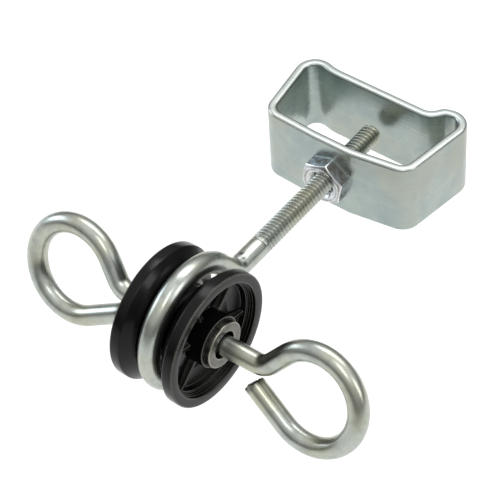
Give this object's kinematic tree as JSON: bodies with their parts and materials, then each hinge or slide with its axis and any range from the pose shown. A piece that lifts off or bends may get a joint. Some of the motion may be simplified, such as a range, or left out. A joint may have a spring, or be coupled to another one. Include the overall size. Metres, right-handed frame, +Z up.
{
  "type": "fence insulator",
  "caption": "Gate-hook insulator for a fence post: strap clamp and eye bolt hold a grooved plastic spool, through which a steel bar with an open hook at each end turns.",
  "frame": {"origin": "where the eye bolt's axis meets the inside face of the clamp band's rear wall, the post seat", "axes": "+Y along the bolt from its eye towards the post, +Z up along the post, X along the hook bar"},
  "size_m": [0.1162, 0.1188, 0.0412],
  "materials": {
    "zinc_strap": "bright zinc plate, satin",
    "zinc_nut": "zinc plate",
    "zinc_rod": "zinc plate with a faint yellow tint",
    "zinc_tube": "zinc plate, dull",
    "black_plastic": "moulded, satin"
  },
  "bodies": {
    "clamp": {"clamp_band": "zinc_strap"},
    "nut": {"lock_nut": "zinc_nut"},
    "bolt": {"eye_bolt": "zinc_rod"},
    "spool": {"insulator_left": "black_plastic", "insulator_right": "black_plastic"},
    "sleeve": {"hub_sleeve": "zinc_tube"},
    "bar": {"hook_bar": "zinc_rod"}
  },
  "joints": [
    {"name": "bolt_travel", "type": "slide", "parent": "clamp", "child": "nut", "axis": [0, 1, 0], "range_m": [-0.0128, 0]},
    {"name": "bolt_turn", "type": "hinge", "parent": "nut", "child": "bolt", "pos_m": [0, 0, 0], "axis": [0, 1, 0], "range_deg": [-3600, 0]},
    {"name": "spool_turn", "type": "hinge", "parent": "bolt", "child": "spool", "pos_m": [0, -0.0914, -0.00215], "axis": [1, 0, 0], "continuous": true},
    {"name": "bar_turn", "type": "hinge", "parent": "spool", "child": "sleeve", "pos_m": [0, -0.0914, -0.00215], "axis": [1, 0, 0], "continuous": true},
    {"name": "bar_float", "type": "slide", "parent": "sleeve", "child": "bar", "axis": [1, 0, 0], "range_m": [-0.009, 0.0058]}
  ],
  "couplings": [
    {"joint": "bolt_travel", "follows": "bolt_turn", "m_per_rad": 0.00020213}
  ]
}
